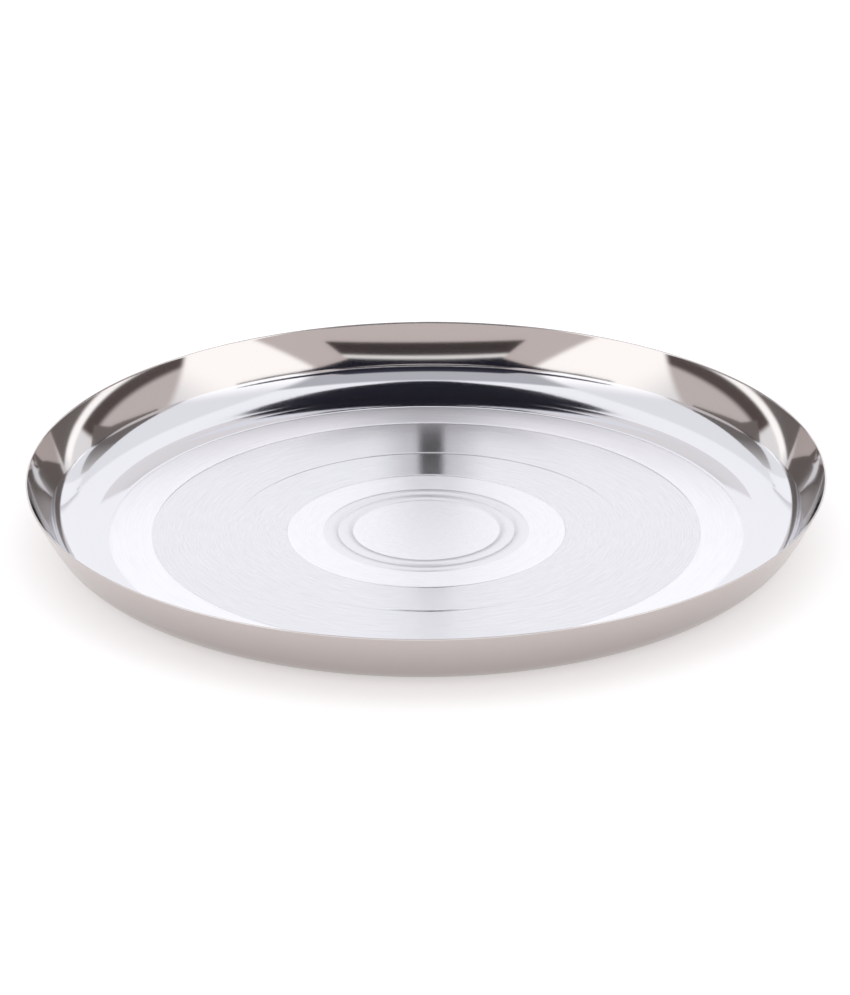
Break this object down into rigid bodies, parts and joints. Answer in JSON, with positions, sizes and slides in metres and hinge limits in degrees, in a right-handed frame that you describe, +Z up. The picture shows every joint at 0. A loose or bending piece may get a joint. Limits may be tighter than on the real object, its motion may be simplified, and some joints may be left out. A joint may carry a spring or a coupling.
{
  "type": "thali plate",
  "caption": "Round steel thali plate with a flared wall, a soft bend up from the floor, raised rings in the middle and concentric turned bands, for serving a full meal.",
  "frame": {"origin": "middle of the foot, on the surface that the plate stands on", "axes": "+Z up along the plate's axis, with +X and +Y anywhere in the level because the plate is round"},
  "size_m": [0.3, 0.2999, 0.024],
  "materials": {
    "polished_steel": "mirror-polished stainless steel, slightly warm grey",
    "brushed_steel": "stainless steel with a fine brush that runs round the plate's axis",
    "satin_steel": "satin stainless steel, softly turned and slightly cool grey"
  },
  "bodies": {
    "root": {"centre_disc": "satin_steel", "inner_bead": "polished_steel", "outer_bead": "polished_steel", "inner_satin_band": "satin_steel", "inner_brushed_band": "brushed_steel", "outer_brushed_band": "brushed_steel", "outer_satin_band": "satin_steel", "margin_band": "polished_steel", "corner_bend": "polished_steel", "side_wall": "polished_steel"}
  },
  "joints": []
}
